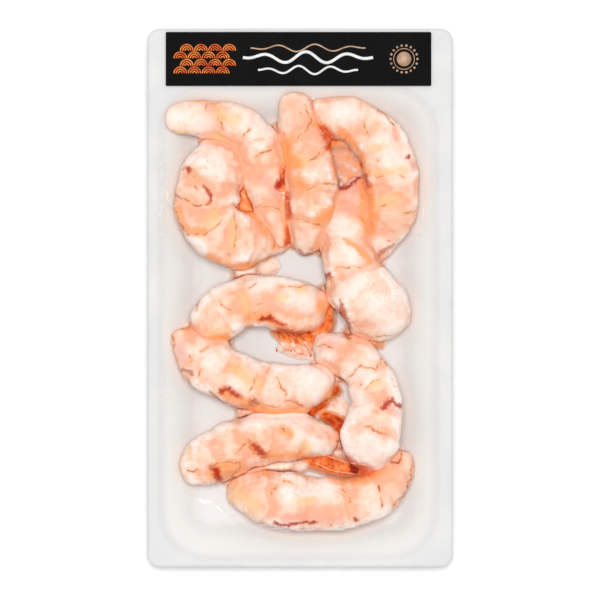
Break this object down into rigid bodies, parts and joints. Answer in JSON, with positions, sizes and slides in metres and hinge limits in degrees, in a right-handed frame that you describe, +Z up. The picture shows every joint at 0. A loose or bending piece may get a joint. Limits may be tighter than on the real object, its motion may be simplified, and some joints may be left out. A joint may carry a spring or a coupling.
{
  "type": "raw peeled shrimp skin pack",
  "caption": "Sealed tray of raw peeled shrimps: curled tails lie in a shallow white tray under clear film drawn tight over them, with a plain label at the head.",
  "frame": {"origin": "on the ground, under the middle of the pack's outline", "axes": "+Z up through the film, +Y towards the label, +X to the label's right"},
  "size_m": [0.122, 0.2154, 0.0229],
  "materials": {
    "tray_plastic": "white thermoformed sheet with a soft satin sheen",
    "raw_flesh": "wet raw shrimp flesh, pale pink to cream, with orange membrane in the folds and red-brown marks",
    "clear_film": "clear glossy vacuum film",
    "label_card": "black printed label with a patch of orange scales, pale and beige waves and a small beige rosette in a ring of dots"
  },
  "bodies": {
    "root": {"tray": "tray_plastic", "shrimp_arc": "raw_flesh", "shrimp_coil": "raw_flesh", "shrimp_upright": "raw_flesh", "shrimp_hook": "raw_flesh", "shrimp_middle": "raw_flesh", "shrimp_shelf": "raw_flesh", "shrimp_cradle": "raw_flesh", "shrimp_elbow": "raw_flesh", "shrimp_low": "raw_flesh", "shrimp_base": "raw_flesh", "film": "clear_film", "label": "label_card"}
  },
  "joints": []
}
